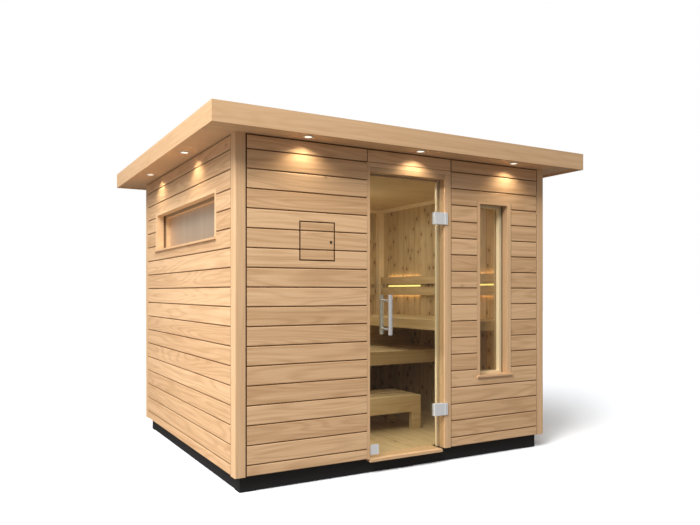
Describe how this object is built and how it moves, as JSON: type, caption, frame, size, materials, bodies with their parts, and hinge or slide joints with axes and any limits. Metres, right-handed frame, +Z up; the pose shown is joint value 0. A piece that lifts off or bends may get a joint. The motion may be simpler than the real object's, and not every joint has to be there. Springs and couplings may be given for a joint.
{
  "type": "outdoor sauna cabin",
  "caption": "Timber-clad outdoor sauna cabin on a dark plinth, with a flat overhanging roof, a full-height glass door, windows, benches inside and a flush hatch.",
  "frame": {"origin": "on the ground, under the middle of the roof's outline", "axes": "+X right along the door side, +Y from the door side to the back, +Z up"},
  "size_m": [3, 2.754, 2.315],
  "materials": {
    "cladding_wood": "planed softwood boards, clear oiled",
    "trim_wood": "planed softwood, clear oiled",
    "inner_wood": "planed knotty softwood, untreated",
    "plinth_black": "near-black, matt",
    "pad_rubber": "matt black",
    "roof_dark": "dark roofing sheet",
    "hinge_steel": "brushed stainless steel",
    "clear_glass": "clear toughened glass",
    "light_white": "white enamel",
    "light_yellow": "lit strip behind a clear cover"
  },
  "bodies": {
    "cabin": {"front_wall_left": "cladding_wood", "front_wall_over_door": "cladding_wood", "front_wall_right": "cladding_wood", "left_wall": "cladding_wood", "right_wall": "cladding_wood", "back_wall": "cladding_wood", "soffit": "cladding_wood", "corner_posts": "trim_wood", "fascia_front": "trim_wood", "fascia_back": "trim_wood", "fascia_left": "trim_wood", "fascia_right": "trim_wood", "door_jamb_left": "trim_wood", "door_jamb_right": "trim_wood", "door_head": "trim_wood", "door_sill": "trim_wood", "front_window_frame": "trim_wood", "front_window_sill": "trim_wood", "side_window_frame": "trim_wood", "side_window_sill": "trim_wood", "floor": "inner_wood", "floor_joists": "inner_wood", "ceiling": "inner_wood", "upper_bench_right": "inner_wood", "upper_bench_back": "inner_wood", "lower_bench": "inner_wood", "bench_skirt": "inner_wood", "backrests": "inner_wood", "step_stool": "inner_wood", "inner_trim": "inner_wood", "plinth_front": "plinth_black", "plinth_back": "plinth_black", "plinth_left": "plinth_black", "plinth_right": "plinth_black", "plinth_pads": "pad_rubber", "roof_deck": "roof_dark", "frame_hinge_leaves": "hinge_steel", "front_window_glass": "clear_glass", "side_window_glass": "clear_glass", "downlights": "light_white", "led_strips": "light_yellow"},
    "door": {"door_glass": "clear_glass", "door_hinge_leaves": "hinge_steel", "door_handle": "hinge_steel", "door_catch": "hinge_steel"},
    "hatch": {"hatch_door": "cladding_wood", "hatch_lock": "hinge_steel"}
  },
  "joints": [
    {"name": "door_swing", "type": "hinge", "parent": "cabin", "child": "door", "pos_m": [0.302, -1.17, 1.076], "axis": [0, 0, 1], "range_deg": [0, 100]},
    {"name": "hatch_swing", "type": "hinge", "parent": "cabin", "child": "hatch", "pos_m": [-0.84, -1.16, 1.5605], "axis": [0, 0, -1], "range_deg": [0, 100]}
  ]
}
